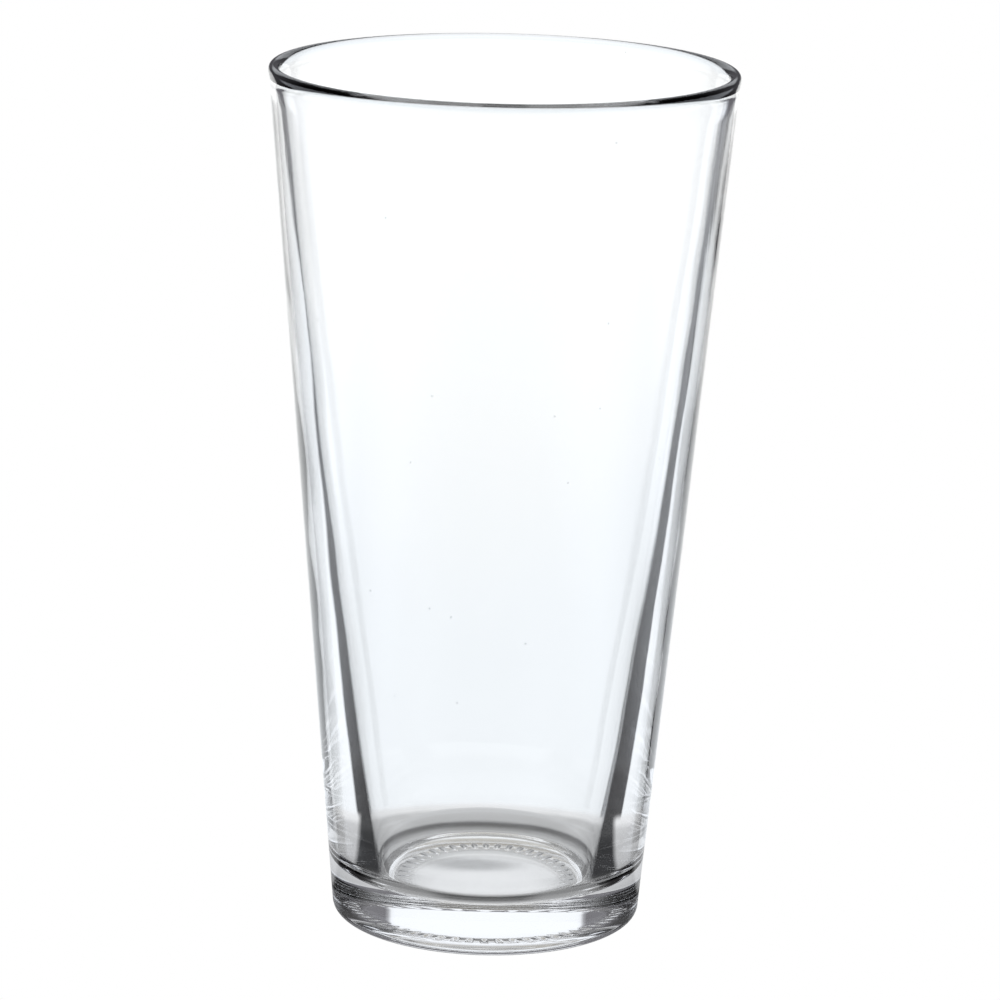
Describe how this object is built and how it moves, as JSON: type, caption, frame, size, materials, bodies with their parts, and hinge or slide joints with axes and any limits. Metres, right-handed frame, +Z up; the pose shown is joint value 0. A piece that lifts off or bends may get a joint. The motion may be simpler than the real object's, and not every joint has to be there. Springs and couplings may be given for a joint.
{
  "type": "mixing glass",
  "caption": "Tall tapered mixing glass of clear pressed glass, with a rolled lip, a wall that thins towards it and a thick flat foot.",
  "frame": {"origin": "centre of the foot, on the plane that the glass stands on", "axes": "+Z up along the axis of the glass, from the foot to the lip; X and Y are interchangeable"},
  "size_m": [0.092, 0.092, 0.172],
  "materials": {
    "glass": "clear, colourless, fire-polished; faint pressed ripples and a few seeds"
  },
  "bodies": {
    "root": {"glass_body": "glass"}
  },
  "joints": []
}
